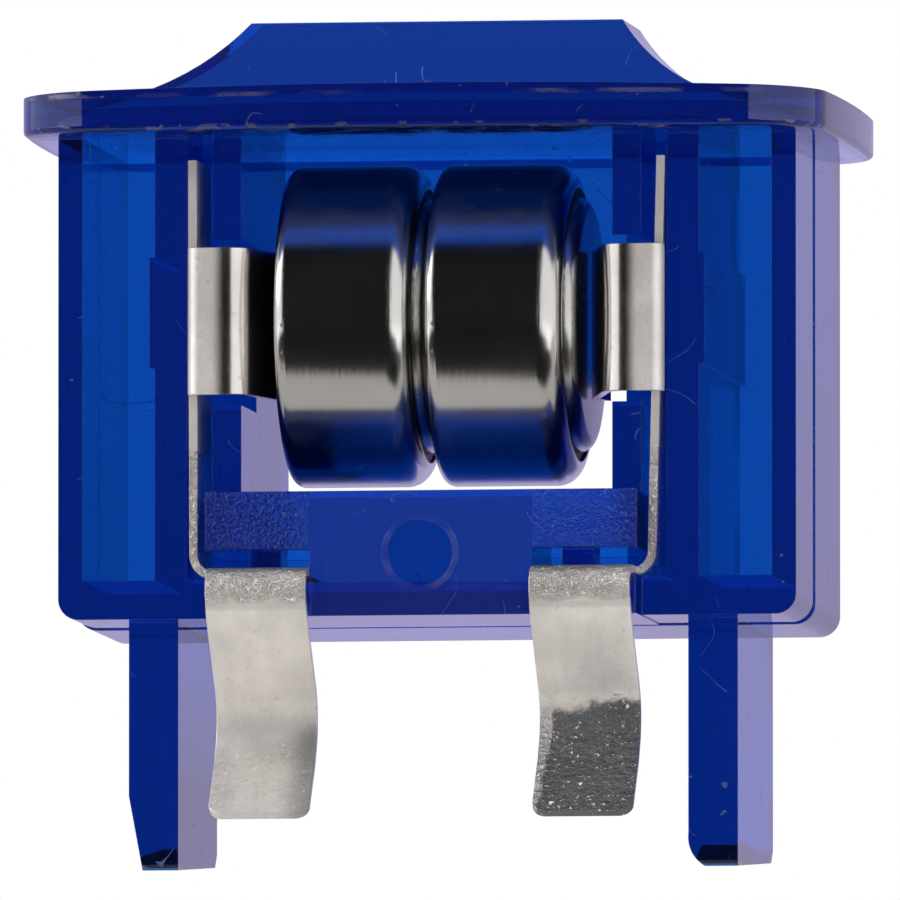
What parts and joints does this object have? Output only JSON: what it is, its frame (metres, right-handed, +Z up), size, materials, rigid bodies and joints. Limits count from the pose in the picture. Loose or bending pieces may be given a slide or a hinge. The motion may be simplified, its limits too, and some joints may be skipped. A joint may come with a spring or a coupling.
{
  "type": "button cell holder",
  "caption": "Plug-in holder for button cells: a clear moulded cap with a grip, tray and guide legs, and stamped spring contacts.",
  "frame": {"origin": "midway between the two legs in X and half way through the cover plate in Y, at the height of the leg tips", "axes": "+X along the stack of cells towards their negative ends, -Y towards the open front, +Z up towards the grip"},
  "size_m": [0.0294, 0.02, 0.0306],
  "materials": {
    "housing_blue": "clear blue moulded polycarbonate, polished faces",
    "spring_sheet": "stamped spring strip, bright nickel plate, lightly pitted",
    "can_steel": "nickel-plated steel, fine marks round the side",
    "cap_steel": "nickel-plated steel, satin",
    "seal": "dark nylon",
    "pellet": "pressed black powder",
    "paper": "soaked separator paper",
    "gel": "grey gelled zinc paste"
  },
  "bodies": {
    "housing": {"housing": "housing_blue", "contact_left_strip": "spring_sheet", "contact_right_strip": "spring_sheet"},
    "wing_left": {"contact_left_wing": "spring_sheet"},
    "leaf_left": {"contact_left_leaf": "spring_sheet"},
    "cell_left": {"left_positive_can": "can_steel", "left_cathode_pellet": "pellet", "left_separator": "paper", "left_gasket": "seal", "left_negative_cap": "cap_steel", "left_anode_gel": "gel"},
    "wing_right": {"contact_right_wing": "spring_sheet"},
    "leaf_right": {"contact_right_leaf": "spring_sheet"},
    "cell_right": {"right_positive_can": "can_steel", "right_cathode_pellet": "pellet", "right_separator": "paper", "right_gasket": "seal", "right_negative_cap": "cap_steel", "right_anode_gel": "gel"}
  },
  "joints": [
    {"name": "leaf_left_flex", "type": "hinge", "parent": "housing", "child": "leaf_left", "pos_m": [-0.00587, -0.0079, 0.01065], "axis": [1, 0, 0], "range_deg": [-12, 3], "stiffness_Nm_per_rad": 0.02},
    {"name": "wing_left_flex", "type": "hinge", "parent": "housing", "child": "wing_left", "pos_m": [-0.00834, -0.0063, 0.01965], "axis": [0, 0, 1], "range_deg": [0, 6], "stiffness_Nm_per_rad": 0.02},
    {"name": "cell_left_slide", "type": "slide", "parent": "housing", "child": "cell_left", "axis": [0, -1, 0], "range_m": [0, 0.018]},
    {"name": "leaf_right_flex", "type": "hinge", "parent": "housing", "child": "leaf_right", "pos_m": [0.00587, -0.0079, 0.01065], "axis": [1, 0, 0], "range_deg": [-12, 3], "stiffness_Nm_per_rad": 0.02},
    {"name": "wing_right_flex", "type": "hinge", "parent": "housing", "child": "wing_right", "pos_m": [0.00834, -0.0063, 0.01965], "axis": [0, 0, 1], "range_deg": [-6, 0], "stiffness_Nm_per_rad": 0.02},
    {"name": "cell_right_slide", "type": "slide", "parent": "housing", "child": "cell_right", "axis": [0, -1, 0], "range_m": [0, 0.018]}
  ]
}
